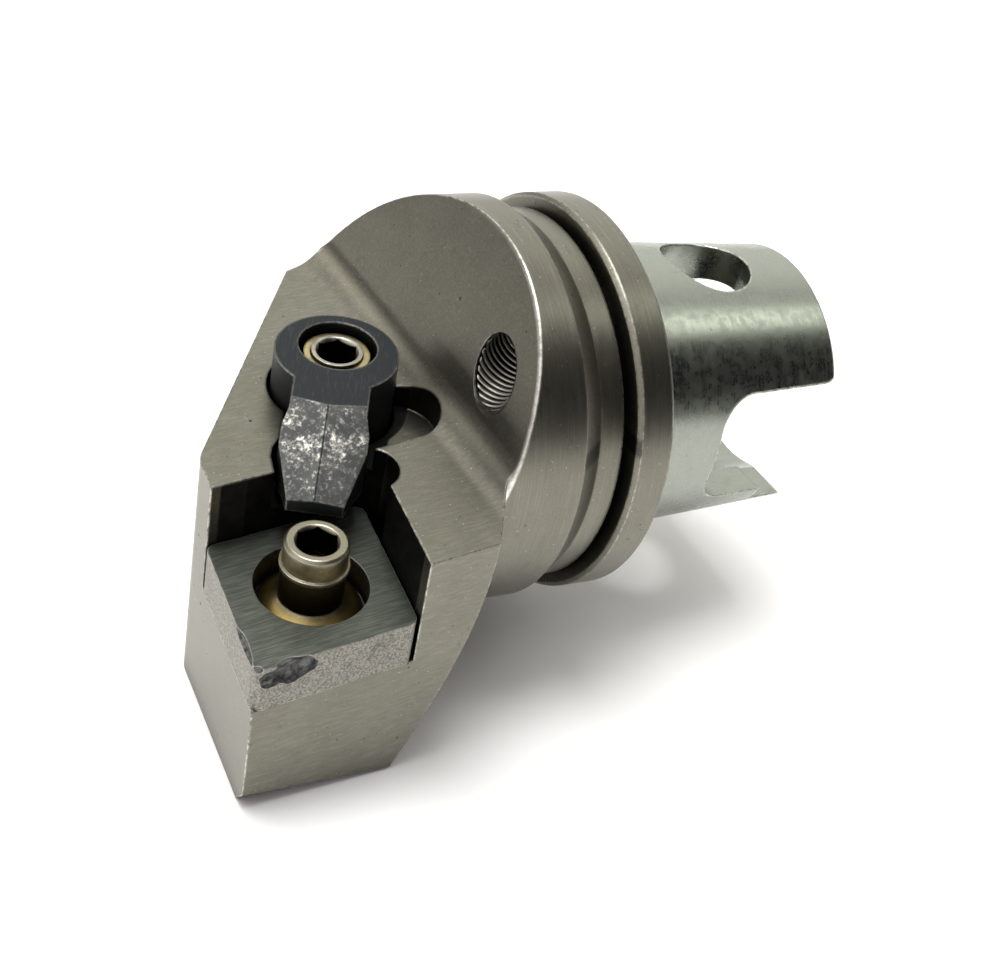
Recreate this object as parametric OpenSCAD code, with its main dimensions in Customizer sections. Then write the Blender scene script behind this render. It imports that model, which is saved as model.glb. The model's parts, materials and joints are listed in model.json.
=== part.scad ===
// Modular turning head: a hollow short taper shank with a flange, and a cutting head
// with a tilted seat for a rhombic insert, a carbide shim, a threaded lock pin and a top clamp.
// The insert is not fitted. X runs along the shank, with the gauge plane at zero and the
// shank on the plus side. The rake side faces plus Z, and the cutting corner lies towards
// minus X and minus Y. Sizes are in millimetres and angles in degrees.

/* [Taper shank] */
// Diameter of the taper at the gauge plane
gauge_d = 24; // [23:0.25:26]
// Length of the shank behind the gauge plane
shank_len = 20; // [19:0.5:24]
// Length along which the diameter shrinks by one
taper_ratio = 10; // [8:1:14]
// Diameter of the bore inside the shank
shank_bore_d = 16.8; // [15:0.2:17.6]
// Distance of the bore's floor in front of the gauge plane
bore_floor = 2; // [1:0.25:2.5]
// Diameter of the two holes for the locking balls
ball_hole_d = 7.8; // [6.4:0.2:8.4]
// Distance of the ball holes behind the gauge plane
ball_hole_x = 10.7; // [10:0.1:12]
// Width of the two drive slots
drive_slot_w = 10; // [9:0.2:11]
// Distance of the slot floors behind the gauge plane
drive_slot_x = 8; // [7:0.25:9]
// Corner radius at the floors of the drive slots
drive_slot_r = 3; // [1.5:0.25:3.5]
// Length of the wider mouth that each slot has at its lower side
slot_mouth_len = 4.8; // [3:0.2:6]
// Extra width of that mouth
slot_mouth_w = 2; // [1:0.2:2.6]
// Chamfer at the free end of the shank
shank_chamfer = 0.5; // [0.3:0.1:0.8]

/* [Flange and gripper groove] */
// Outer diameter of the flange
flange_d = 32; // [31:0.5:34]
// Width of the flange band
flange_w = 3.25; // [2.75:0.25:4]
// Chamfer on both edges of the flange
flange_chamfer = 0.3; // [0.2:0.05:0.5]
// Width of the narrow groove in front of the flange
gap_w = 0.7; // [0.5:0.1:1]
// Diameter at the bottom of the narrow groove
gap_d = 26.4; // [25.6:0.2:27.6]
// Diameter of the land of the gripper groove
land_d = 29.7; // [29:0.1:30.4]
// Width of that land
land_w = 2; // [1.6:0.1:2.4]
// Width of the cone between the land and the head
groove_cone_w = 2; // [1.6:0.1:2.4]

/* [Head blank] */
// Diameter of the cylinder behind the cutting head
head_d = 32.1; // [31.6:0.1:34]
// Distance from the gauge plane to the start of the flare
flare_x = 14.5; // [13.5:0.25:15.5]
// Angle between the flare and the shank axis
flare_angle = 59; // [55:1:62]
// Diameter of the turned blank that bounds the cutting head
blank_d = 55; // [54:0.5:57]
// Depth of the flat underside below the shank axis
belly_z = 19.2; // [18.5:0.25:20.5]
// Distance from the gauge plane to the relief on the side away from the cutting corner
far_side_x = 13.8; // [13:0.2:14.4]
// Angle of that relief to the shank axis
far_side_angle = 20; // [12:1:26]

/* [Insert seat] */
// Distance of the shim corner in front of the gauge plane
tip_x = 35.2; // [34.5:0.1:36]
// Sideways distance of the shim corner from the shank axis
tip_y = 22; // [21.5:0.1:22.5]
// Depth of the shim corner below the shank axis
tip_z = 5.15; // [4.8:0.05:5.5]
// Lead angle of the side edge
lead_angle = 4.8; // [4:0.2:6]
// Drop of the seat towards the front
front_drop = 5.8; // [5:0.2:7]
// Drop of the seat towards the cutting side
side_drop = 3.2; // [2.4:0.2:4.4]
// Corner angle of the rhombic seat
corner_angle = 80; // [78:1:82]
// Length of the side of the shim
shim_side = 12.7; // [12.4:0.1:13]
// Thickness of the shim
shim_t = 4; // [3.6:0.1:4.4]
// Corner radius of the shim
shim_r = 0.8; // [0.4:0.1:1.2]
// Diameter of the counterbore in the shim
shim_bore_d = 8.3; // [8:0.1:8.8]
// Depth of that counterbore
shim_bore_depth = 2.5; // [2.2:0.1:2.8]
// Gap between the shim and the walls of the seat
seat_gap = 0.15; // [0.1:0.05:0.3]
// Height of the top face of the head above the shim
deck_h = 5.35; // [5:0.05:5.8]
// Inset of the side faces of the head from the shim
face_inset = 0.1; // [0.05:0.05:0.3]
// Radius of the relief at the inner corner of the seat
relief_r = 2.35; // [2:0.05:2.6]

/* [Faces of the head] */
// Length of the front face from the shim corner to the oblique face
front_face_len = 16; // [15.5:0.25:17]
// Angle of the oblique face to the side edge of the seat
oblique_angle = 49; // [46:1:52]
// Radius between the front face and the oblique face
oblique_r = 2.5; // [1:0.25:4]
// Distance from the shim corner to the foot of the sloped face
slope_foot = 21.9; // [21.2:0.1:22.6]
// Angle of the sloped face to the top face
slope_angle = 63.5; // [60:0.5:68]
// Turn of the sloped face away from square to the side edge
slope_skew = 1.3; // [0:0.1:2]
// Radius between the top face and the sloped face
slope_r = 3.5; // [2:0.25:5]

/* [Clamp pocket] */
// Place of the round clamp pocket along the side edge
pocket_a = 15.7; // [15.4:0.1:16]
// Place of the round clamp pocket across the head
pocket_b = 19.9; // [19.6:0.1:20.2]
// Diameter of the round clamp pocket
pocket_d = 9.9; // [9.8:0.05:10.2]
// Depth of the round clamp pocket below the top face
pocket_depth = 7.4; // [7:0.1:8]
// Direction of the clamp nose, measured from the side edge
nose_dir = 237; // [235:1:239]
// Radius of the round end of the shallow lobe
lobe_r = 3.2; // [2.8:0.1:3.5]
// Depth of the lobe below the top face
lobe_depth = 2; // [1.6:0.1:2.4]
// Distance of the lobe's round end from the pocket axis along the side edge
lobe_a = 3.25; // [3:0.05:3.5]
// Distance of the lobe's centre line from the pocket axis across the head
lobe_b = 4.3; // [4:0.1:4.6]

/* [Clamp] */
// Diameter of the round boss of the clamp
boss_d = 9.3; // [9.1:0.05:9.5]
// Height of the clamp's flat top above the shim
clamp_top_h = 8.7; // [8.4:0.1:9]
// Clearance between the clamp's foot and the floor of its pocket
clamp_foot_gap = 0.5; // [0.4:0.05:0.8]
// Distance of the screw axis behind the axis of the boss
screw_offset = 0.8; // [0.5:0.05:0.9]
// Distance from the screw axis to the end of the nose
nose_reach = 13.4; // [13:0.1:13.6]
// Half of the width of the nose at its root
nose_root_hw = 2.8; // [2.6:0.05:3]
// Half of the greatest width of the nose
nose_mid_hw = 3.15; // [3:0.05:3.3]
// Half of the width of the nose at its tip
nose_tip_hw = 2.05; // [1.8:0.05:2.4]
// Distance from the screw axis to the crease of the nose
nose_crease = 7.3; // [7:0.1:7.8]
// Height of the underside of the nose tip above the shim
nose_under_h = 3.6; // [3.4:0.1:3.9]
// Height of the blunt end of the nose
nose_end_t = 1.2; // [1:0.1:1.4]
// Angle at which each half of the nose falls away from the seam
seam_angle = 5; // [3:0.5:7]
// Side clearance of the nose in its channel
nose_gap = 0.45; // [0.4:0.05:0.6]
// Clearance under the nose in its channel
nose_under_gap = 0.5; // [0.4:0.05:0.7]

/* [Clamp screw] */
// Thread diameter of the clamp screw
screw_d = 4; // [3.8:0.1:4.2]
// Diameter of the collar that presses on the clamp
collar_d = 5; // [4.8:0.05:5.2]
// Diameter of the counterbore in the clamp
clamp_bore_d = 5.9; // [5.7:0.05:6.1]
// Depth of that counterbore
clamp_bore_depth = 3.1; // [2.8:0.1:3.4]
// Diameter of the hub above the collar
hub_d = 3.9; // [3.7:0.05:4.1]
// Depth of the screw's end face below the top of the clamp
screw_sink = 0.45; // [0.3:0.05:0.7]
// Width across the flats of both hexagon sockets
hex_af = 2.8; // [2.6:0.05:3]
// Depth of both hexagon sockets
hex_depth = 2.4; // [2:0.1:2.8]
// Height of the retaining ring
ring_t = 0.8; // [0.6:0.05:1]
// Depth of the retaining ring below the end face of the screw
ring_sink = 0.25; // [0.2:0.05:0.4]
// Length of thread that the clamp screw has in the body
screw_engage = 8; // [7:0.25:9]

/* [Lock pin] */
// Diameter of the head of the lock pin
pin_head_d = 4.65; // [4.4:0.05:4.8]
// Height of the pin's end face above the shim
pin_top_h = 4.15; // [3.9:0.05:4.4]
// Height of the pin's head
pin_head_t = 1.9; // [1.6:0.1:2.2]
// Diameter of the rim below the head
pin_rim_d = 5; // [4.85:0.05:5.2]
// Height of that rim
pin_rim_t = 0.3; // [0.2:0.05:0.4]
// Diameter of the neck between the rim and the shoulder
pin_neck_d = 4.7; // [4.5:0.05:4.8]
// Diameter of the shoulder that holds the shim
pin_shoulder_d = 7.6; // [7.4:0.05:7.8]
// Height of the shoulder's rim
pin_shoulder_t = 0.6; // [0.4:0.05:0.8]
// Height of the cone above the shoulder
pin_cone_t = 1; // [0.6:0.1:1.2]
// Thread diameter of the lock pin
pin_thread_d = 5; // [4.8:0.1:5.2]
// Length of thread that the pin has in the body
pin_engage = 6.5; // [6:0.25:7]

/* [Coolant port] */
// Diameter of the threaded coolant port
port_d = 4.2; // [3.8:0.1:4.6]
// Depth of the port
port_depth = 7; // [6:0.25:8]
// Distance of the port in front of the gauge plane
port_x = 12.9; // [12.5:0.1:13.3]
// Sideways distance of the port from the shank axis
port_y = 8.6; // [8.2:0.1:9]
// Height of the port above the shank axis
port_z = 8; // [7.6:0.1:8.4]
// Diameter of the duct that feeds the port from the bore
duct_d = 2.6; // [2:0.2:3]

/* [Hidden] */
$fn = 96;
// Overrun of every cut past the face that it opens
over = 0.6;
// Running clearance of the threads, on the radius
thread_gap = 0.05;
// Clearance of the screw in the clamp, on the radius
shaft_gap = 0.15;
// Clearance between the ring and the hub, on the radius
ring_gap = 0.04;
// Wall of the undercut at the root of the taper: its width and depth
undercut_w = 0.8;
undercut_depth = 0.35;
// Rounding of the outer corners of the drive slots
slot_edge_r = 1.4;
// Place of the relief's centre off the corner of the seat, in shares of its radius
relief_shares = [0.6, 0.85];
// Where the nose begins to widen, is widest and begins to narrow, in shares of its crease
bulge_shares = [1.03, 1.2, 1.35];

flange_r = flange_d / 2;
gauge_r = gauge_d / 2;
head_r = head_d / 2;
blank_r = blank_d / 2;
land_r = land_d / 2;
end_r = gauge_r - shank_len / taper_ratio / 2;
gap_front_x = flange_w + gap_w;
land_front_x = gap_front_x + land_w;
cone_front_x = land_front_x + groove_cone_w;
flare_len = (blank_r - head_r) / tan(flare_angle);
nose_x = tip_x + over;

// Plan of the seat: the side edge runs along X, the other edge at the corner angle
edge = [cos(corner_angle), sin(corner_angle)];
shim_centre = [(1 + edge.x) * shim_side / 2, edge.y * shim_side / 2];
wall_side = shim_side + seat_gap;
seat_corner = [wall_side * (1 + edge.x), wall_side * edge.y];
relief_centre = seat_corner - relief_r * relief_shares;
pocket_c = [pocket_a, pocket_b];
nose_vec = [cos(nose_dir), sin(nose_dir)];
screw_c = pocket_c - screw_offset * nose_vec;

pocket_floor_h = deck_h - pocket_depth;
clamp_foot_h = pocket_floor_h + clamp_foot_gap;
screw_top_h = clamp_top_h - screw_sink;
collar_foot_h = clamp_top_h - clamp_bore_depth;
ring_top_h = screw_top_h - ring_sink;
ring_foot_h = ring_top_h - ring_t;
// Height of the lower part of the nose at its root
nose_root_h = nose_under_h - nose_end_t;
channel_h = nose_root_h - nose_under_gap;
// The nose begins inside the boss, clear of the counterbore
nose_start = clamp_bore_d / 2 + over / 2;

// Turns a shape that was revolved round Z so that its axis lies along X
module along_x() {
    rotate([0, 90, 0])
        children();
}

// Places children in the frame of the seat: the origin is the shim's corner on its top
// face, X follows the side edge and Z stands on the shim
module seat_frame() {
    translate([-tip_x, -tip_y, -tip_z])
        rotate([side_drop, -front_drop, lead_angle])
            children();
}

// Places children on the screw axis, with X along the nose
module nose_frame() {
    translate([screw_c.x, screw_c.y, 0])
        rotate([0, 0, nose_dir])
            children();
}

// A closed plan shape between two heights of the seat frame
module slab(from_h, to_h) {
    translate([0, 0, from_h])
        linear_extrude(to_h - from_h)
            children();
}

module drill(centre, d, from_h, to_h) {
    translate([centre.x, centre.y, from_h])
        cylinder(d = d, h = to_h - from_h);
}

// Fills the inner corner c between two edges, whose directions from c are u and v
module corner_fill(c, u, v, r) {
    half = acos(u * v) / 2;
    mid = (u + v) / norm(u + v);
    centre = c + mid * r / sin(half);
    run = r / tan(half);
    difference() {
        polygon([c, c + u * run, c + v * run]);
        translate(centre)
            circle(r);
    }
}

// A rhombus with rounded corners, with one corner of the sharp outline at the origin
module rhombus(side, r) {
    k = r / edge.y;
    inner = side - 2 * k;
    hull()
        for (i = [0, 1], j = [0, 1])
            translate([k + k * edge.x, r] + i * [inner, 0] + j * inner * edge)
                circle(r, $fn = 32);
}

module hex_socket(top_h, depth) {
    translate([0, 0, top_h - depth])
        cylinder(d = hex_af / cos(30), h = depth + over, $fn = 6);
    translate([0, 0, top_h - depth - hex_af / 4])
        cylinder(d1 = 0, d2 = hex_af * 0.9, h = hex_af / 4 + over / 6);
    translate([0, 0, top_h - hex_af / 10])
        cylinder(d1 = hex_af, d2 = hex_af * 1.25, h = hex_af / 10 + over / 6);
}

// The turned part: shank, flange, gripper groove and the cylinder of the head
module turned_body() {
    along_x()
        rotate_extrude()
            polygon([
                [0, -tip_x],
                [head_r, -tip_x],
                [head_r, -cone_front_x],
                [land_r, -land_front_x],
                [land_r, -gap_front_x],
                [gap_d / 2, -gap_front_x],
                [gap_d / 2, -flange_w],
                [flange_r - flange_chamfer, -flange_w],
                [flange_r, -flange_w + flange_chamfer],
                [flange_r, -flange_chamfer],
                [flange_r - flange_chamfer, 0],
                [gauge_r, 0],
                [gauge_r - undercut_depth, -undercut_depth],
                [gauge_r - undercut_depth, undercut_w],
                [gauge_r - undercut_w / taper_ratio / 2, undercut_w],
                [end_r, shank_len - shank_chamfer],
                [end_r - shank_chamfer, shank_len],
                [0, shank_len],
            ]);
}

// The flare in front of the cylinder, which lies below the top face or on the cutting side
module flare() {
    far = blank_d * 2;
    intersection() {
        along_x()
            rotate_extrude()
                polygon([
                    [0, -nose_x],
                    [blank_r, -nose_x],
                    [blank_r, -flare_x - flare_len],
                    [0, head_r / tan(flare_angle) - flare_x],
                ]);
        union() {
            seat_frame()
                translate([-far, -far, deck_h - far])
                    cube([far * 2, far * 2, far]);
            translate([-far, -far, -far])
                cube([far * 2, far, far * 2]);
        }
    }
}

// Plan of the head in the seat frame: side face, front face and oblique face
module head_plan() {
    far = blank_d * 2;
    start = [face_inset * (1 + edge.x) / edge.y, face_inset];
    bend = start + edge * front_face_len;
    slant = [cos(oblique_angle), sin(oblique_angle)];
    difference() {
        polygon([start, [far, start.y], [far, far], bend + slant * far, bend]);
        corner_fill(bend, -edge, slant, oblique_r);
    }
}

// Side view of the space above the top face, in front of the sloped face
module step_profile() {
    far = blank_d * 2;
    rise = [cos(slope_angle), sin(slope_angle)];
    foot = [slope_foot, deck_h];
    offset(r = slope_r)
        offset(delta = -slope_r)
            polygon([foot, foot + rise * far, [-far, foot.y + rise.y * far], [-far, deck_h]]);
}

// Everything outside the plan, below the flat underside and beyond the far side's relief
module head_trim() {
    far = blank_d * 2;
    seat_frame()
        slab(-far, far)
            difference() {
                square(far * 3, center = true);
                head_plan();
            }
    translate([-far, -far, -belly_z - far])
        cube([far * 2, far * 2, far]);
    translate([-far_side_x, head_r, 0])
        rotate([0, 0, far_side_angle])
            translate([-far, 0, -far])
                cube([far, far, far * 2]);
}

// The space for the shim and the insert, open to the side and to the front
module seat_void() {
    reach = blank_r;
    slab(-shim_t, clamp_top_h + over)
        polygon([
            -[reach, reach],
            [wall_side - reach * edge.x / edge.y, -reach],
            seat_corner,
            [-reach, seat_corner.y],
        ]);
    drill(relief_centre, relief_r * 2, -shim_t, clamp_top_h + over);
}

// Plan of the clamp's nose in the seat frame, grown by a gap
module nose_plan(gap, reach) {
    root = nose_root_hw + gap;
    mid = nose_mid_hw + gap;
    tip = nose_tip_hw + gap;
    bulge = nose_crease * bulge_shares;
    translate(screw_c)
        rotate(nose_dir)
            polygon([
                [nose_start, -root],
                [bulge[0], -root],
                [bulge[1], -mid],
                [bulge[2], -mid],
                [reach, -tip],
                [reach, tip],
                [bulge[2], mid],
                [bulge[1], mid],
                [bulge[0], root],
                [nose_start, root],
            ]);
}

module clamp_void() {
    top_h = clamp_top_h + over;
    drill(pocket_c, pocket_d, pocket_floor_h, top_h);
    // The channel of the nose, from the round pocket to the seat
    slab(channel_h, top_h)
        nose_plan(nose_gap, nose_reach + nose_gap);
    // The shallow lobe beside the pocket
    slab(deck_h - lobe_depth, top_h)
        hull() {
            translate(pocket_c + [lobe_a, -lobe_b])
                circle(lobe_r);
            translate(pocket_c + [-lobe_r / 2, -lobe_b])
                circle(lobe_r);
        }
    drill(screw_c, screw_d + 2 * thread_gap, pocket_floor_h - screw_engage - over, top_h);
}

// Rounds the corner between the side of a drive slot and the end of the shank
module slot_corner(side_y) {
    difference() {
        translate([shank_len - slot_edge_r, 0])
            square([slot_edge_r + over, side_y + slot_edge_r]);
        translate([shank_len - slot_edge_r, side_y + slot_edge_r])
            circle(slot_edge_r);
    }
}

// A drive slot through the wall of the shank on the minus Y side
module drive_slot() {
    depth = gauge_r + over;
    length = shank_len - drive_slot_x;
    half = drive_slot_w / 2;
    low = half + slot_mouth_w;
    mouth_x = shank_len - slot_mouth_len;
    rotate([90, 0, 0])
        linear_extrude(depth)
            difference() {
                polygon([
                    [drive_slot_x, -half],
                    [mouth_x, -half],
                    [mouth_x + slot_mouth_w / 4, -low],
                    [shank_len + over, -low],
                    [shank_len + over, half],
                    [drive_slot_x, half],
                ]);
                corner_fill([drive_slot_x, half], [1, 0], [0, -1], drive_slot_r);
                corner_fill([drive_slot_x, -half], [1, 0], [0, 1], drive_slot_r);
            }
    rotate([90, 0, 0])
        linear_extrude(depth) {
            slot_corner(half);
            mirror([0, 1])
                slot_corner(low);
        }
}

module shank_void() {
    along_x() {
        translate([0, 0, -bore_floor])
            cylinder(d = shank_bore_d, h = bore_floor + shank_len + over);
    }
    translate([ball_hole_x, 0, -gauge_r - over])
        cylinder(d = ball_hole_d, h = gauge_d + 2 * over);
    drive_slot();
    rotate([180, 0, 0])
        drive_slot();
}

// The port points at the cutting corner, and a duct feeds it from the bore
module coolant_void() {
    mouth = [-port_x, -port_y, port_z];
    aim = [-tip_x, -tip_y, 0] - mouth;
    turn = atan2(aim.y, aim.x);
    tilt = acos(aim.z / norm(aim));
    root = mouth - aim / norm(aim) * port_depth;
    translate(root)
        rotate([0, tilt, turn])
            cylinder(d = port_d, h = port_depth * 2);
    inlet = [over - bore_floor, -shank_bore_d / 6, shank_bore_d / 4];
    run = inlet - root;
    translate(root)
        rotate([0, acos(run.z / norm(run)), atan2(run.y, run.x)])
            cylinder(d = duct_d, h = norm(run));
}

module body() {
    far = blank_d * 2;
    color("#7d7a70")
        difference() {
            union() {
                turned_body();
                flare();
            }
            head_trim();
            seat_frame() {
                rotate([90, 0, -slope_skew])
                    translate([0, 0, -far / 2])
                        linear_extrude(far)
                            step_profile();
                seat_void();
                clamp_void();
                drill(shim_centre, pin_thread_d + 2 * thread_gap, -shim_t - pin_engage - over, 0);
            }
            shank_void();
            coolant_void();
        }
}

// The carbide shim, with a counterbore for the shoulder of the lock pin
module shim() {
    color("#6c716a")
        seat_frame()
            difference() {
                slab(-shim_t, 0)
                    rhombus(shim_side, shim_r);
                drill(shim_centre, shim_bore_d, -shim_bore_depth, over);
                drill(shim_centre, pin_thread_d + 4 * shaft_gap, -shim_t - over, 0);
            }
}

module lock_pin() {
    shoulder_h = -shim_bore_depth + pin_shoulder_t;
    rim_h = pin_top_h - pin_head_t;
    color("#b39a55")
        seat_frame()
            translate([shim_centre.x, shim_centre.y, 0])
                difference() {
                    rotate_extrude()
                        polygon([
                            [0, pin_top_h],
                            [pin_head_d * 0.45, pin_top_h],
                            [pin_head_d / 2, pin_top_h - pin_head_d * 0.05],
                            [pin_head_d / 2, rim_h],
                            [pin_rim_d / 2, rim_h],
                            [pin_rim_d / 2, rim_h - pin_rim_t],
                            [pin_neck_d / 2, rim_h - pin_rim_t],
                            [pin_neck_d / 2, shoulder_h + pin_cone_t],
                            [pin_shoulder_d / 2, shoulder_h],
                            [pin_shoulder_d / 2, -shim_bore_depth],
                            [pin_thread_d / 2, -shim_bore_depth],
                            [pin_thread_d / 2, -shim_t - pin_engage],
                            [0, -shim_t - pin_engage],
                        ]);
                    hex_socket(pin_top_h, hex_depth);
                }
}

// The space under the nose, which leaves a blunt tip that bears on the insert
module nose_under() {
    root_x = nose_crease - over;
    foot_x = nose_reach - nose_end_t;
    rise = (nose_under_h - nose_root_h) / (foot_x - root_x);
    width = 2 * (nose_mid_hw + over);
    translate([0, width / 2, 0])
        rotate([90, 0, 0])
            linear_extrude(width)
                polygon([
                    [root_x - nose_end_t, nose_root_h - rise * nose_end_t],
                    [foot_x, nose_under_h],
                    [nose_reach + over, nose_under_h],
                    [nose_reach + over, nose_root_h - nose_end_t],
                ]);
}

// The space above one half of the sloped nose. Each half falls away from the seam, and the
// two cuts overlap
module seam_cut(side) {
    drop = clamp_top_h - nose_under_h - nose_end_t;
    run = nose_reach - nose_crease;
    translate([nose_crease, 0, clamp_top_h])
        rotate([0, atan2(drop, run), 0])
            rotate([-side * seam_angle, 0, 0])
                translate([-nose_reach, -nose_reach, 0])
                    cube([nose_reach * 2, nose_reach * 2, nose_reach]);
}

module clamp() {
    color("#2f3236")
        seat_frame()
            difference() {
                union() {
                    drill(pocket_c, boss_d, clamp_foot_h, nose_root_h + over);
                    slab(nose_root_h, clamp_top_h) {
                        translate(pocket_c)
                            circle(d = boss_d);
                        nose_plan(0, nose_reach);
                    }
                }
                nose_frame() {
                    seam_cut(1);
                    seam_cut(-1);
                    nose_under();
                }
                drill(screw_c, clamp_bore_d, collar_foot_h, clamp_top_h + over);
                drill(screw_c, screw_d + 2 * shaft_gap, clamp_foot_h - over, clamp_top_h);
            }
}

// The ring on the hub of the clamp screw
module clamp_ring() {
    color("#c2a860")
        seat_frame()
            difference() {
                drill(screw_c, collar_d, ring_foot_h, ring_top_h);
                drill(screw_c, hub_d + 2 * ring_gap, ring_foot_h - over, ring_top_h + over);
            }
}

module clamp_screw() {
    color("#b9a46b")
        seat_frame()
            translate([screw_c.x, screw_c.y, 0])
                difference() {
                    rotate_extrude()
                        polygon([
                            [0, screw_top_h],
                            [hub_d / 2, screw_top_h],
                            [hub_d / 2, ring_foot_h],
                            [collar_d / 2, ring_foot_h],
                            [collar_d / 2, collar_foot_h],
                            [screw_d / 2, collar_foot_h],
                            [screw_d / 2, pocket_floor_h - screw_engage],
                            [0, pocket_floor_h - screw_engage],
                        ]);
                    hex_socket(screw_top_h, hex_depth);
                }
}

body();
shim();
lock_pin();
clamp();
clamp_ring();
clamp_screw();
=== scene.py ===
"""Looks of a modular cutting unit: the CAD frame gets its finishes, and the small things that
the solids leave out, such as the port's thread, the shim's chips and the floor, are made here.

The file is laid out as a Blender add-on and run as a script. Lengths are in metres, unless
a comment says otherwise.
"""

import json
import math

import bmesh
import bpy
from bpy.props import FloatProperty, FloatVectorProperty, PointerProperty
from mathutils import Matrix, Vector, noise

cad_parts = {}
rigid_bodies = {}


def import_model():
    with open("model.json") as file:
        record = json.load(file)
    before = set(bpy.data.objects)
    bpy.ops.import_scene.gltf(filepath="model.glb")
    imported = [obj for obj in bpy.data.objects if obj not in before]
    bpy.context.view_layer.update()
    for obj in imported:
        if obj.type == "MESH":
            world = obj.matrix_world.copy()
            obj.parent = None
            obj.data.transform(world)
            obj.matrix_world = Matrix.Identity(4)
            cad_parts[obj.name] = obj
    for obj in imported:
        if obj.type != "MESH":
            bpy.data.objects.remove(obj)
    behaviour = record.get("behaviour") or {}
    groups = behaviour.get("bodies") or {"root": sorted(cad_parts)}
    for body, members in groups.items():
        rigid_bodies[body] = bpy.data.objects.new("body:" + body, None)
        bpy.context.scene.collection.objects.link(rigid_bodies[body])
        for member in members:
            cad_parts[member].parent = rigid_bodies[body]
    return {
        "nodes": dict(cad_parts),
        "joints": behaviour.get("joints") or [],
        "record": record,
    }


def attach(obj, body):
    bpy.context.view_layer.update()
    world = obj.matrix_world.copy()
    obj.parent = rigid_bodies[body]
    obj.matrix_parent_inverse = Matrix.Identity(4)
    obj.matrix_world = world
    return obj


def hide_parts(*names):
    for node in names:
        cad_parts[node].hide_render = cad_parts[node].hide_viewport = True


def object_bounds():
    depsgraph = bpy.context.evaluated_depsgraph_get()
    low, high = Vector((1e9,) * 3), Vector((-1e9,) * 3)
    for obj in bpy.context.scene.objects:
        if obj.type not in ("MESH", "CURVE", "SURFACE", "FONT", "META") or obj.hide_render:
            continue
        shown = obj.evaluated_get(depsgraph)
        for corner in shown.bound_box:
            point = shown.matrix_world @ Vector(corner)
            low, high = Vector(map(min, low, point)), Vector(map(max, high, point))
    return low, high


bl_info = {
    "name": "Modular Cutting Unit",
    "version": (1, 0, 0),
    "blender": (4, 5, 0),
    "location": "View3D > Sidebar > Cutting Unit",
    "description": "Finishes, thread, shim and stage of a modular cutting unit",
    "category": "Object",
}

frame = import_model()
CAD_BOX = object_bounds()
NODES = frame["nodes"]
JOINTS = {j["name"]: j for j in frame["joints"]}
MOUNTS = {m["name"]: m for m in frame["record"]["mounts"]}

MM = 0.001
WELD_DISTANCE = 1e-7

# Directions of the tilted seat: Z stands on the shim and X follows the side edge
SEAT_Z = Vector(JOINTS["clamp_lift"]["axis"]).normalized()
LEAD = math.radians(4.8)
SEAT_X = Vector((math.cos(LEAD), math.sin(LEAD), 0))
SEAT_X = (SEAT_X - SEAT_X.dot(SEAT_Z) * SEAT_Z).normalized()
SEAT_Y = SEAT_Z.cross(SEAT_X)
SEAT_AXES = Matrix((SEAT_X, SEAT_Y, SEAT_Z)).transposed()
SEAT_TILT = SEAT_AXES.to_euler()

PIN_POINT = Vector(JOINTS["lock_pin_turn"]["pos_m"])
SCREW_POINT = Vector(JOINTS["clamp_screw_turn"]["pos_m"])
PORT_POINT = Vector(MOUNTS["coolant_port"]["pos_m"])
PORT_AXIS = Vector(MOUNTS["coolant_port"]["axis"])
PORT_RADIUS = MOUNTS["coolant_port"]["dims"]["r_mm"] * MM
# The shim's corner at the unit's nose, from which places on the seat are measured
SHIM_TIP = Vector((-0.0352, -0.022, -0.00515))
# The sloped face rises from the flat beside the seat
SLOPE = math.radians(63.5)
SLOPE_NORMAL = (math.cos(SLOPE) * SEAT_Z - math.sin(SLOPE) * SEAT_X).normalized()
SLOPE_FOOT = SHIM_TIP + 0.0219 * SEAT_X + 0.00535 * SEAT_Z
# Direction of the clamp's nose
NOSE_ANGLE = math.radians(237)
NOSE = (math.cos(NOSE_ANGLE) * SEAT_X + math.sin(NOSE_ANGLE) * SEAT_Y).normalized()
NOSE_SIDE = NOSE.cross(SEAT_Z)
NOSE_TURN = Matrix((NOSE, SEAT_Z.cross(NOSE), SEAT_Z)).transposed().to_euler()

# Regions of the body. Two numbers are where a soft step starts and ends.
TURNED_FROM_X = (-0.0147, -0.0139)
SHANK_FROM_X = (-0.0002, 0.0003)
RIM_WIDTH = (0.00012, 0.0004)
RIM_RADIUS = (0.01565, 0.01595)
RIM_UNTIL_X = (-0.008, -0.0075)
RIM_FROM_HEIGHT = (-0.002, 0.003)
POCKET_RADIUS = (0.0058, 0.006)
CHANNEL_HALF_WIDTH = (0.0046, 0.0048)
PORT_WALL = (0.00213, 0.00222)
# Three numbers are the low and the high edge of a band and its softness
SEAT_LENGTH = (0.0008, 0.01295, 0.0001)
SEAT_WIDTH = (0.0013, 0.01275, 0.0001)
CHANNEL_LENGTH = (0.0, 0.0145, 0.0002)
SEAT_SHADE_HEIGHT = (-0.0054, 0.0052, 0.00006)
FILLET_REFLECTION_HEIGHT = (0.00552, 0.0068, 0.0003)
PORT_REACH = (-0.004, 0.0068, 0.0002)
# How far along the sloped face's foot the painted dark reflection fades out, and where it is
# darkest
FILLET_REFLECTION_UNTIL = (0.019, 0.029)
FILLET_REFLECTION_DARKEST_UNTIL = (0.002, 0.016)
# The seat is a rhombus. Its end leans by ten degrees, and this is their tangent.
RHOMBUS_LEAN = 0.1763
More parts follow.
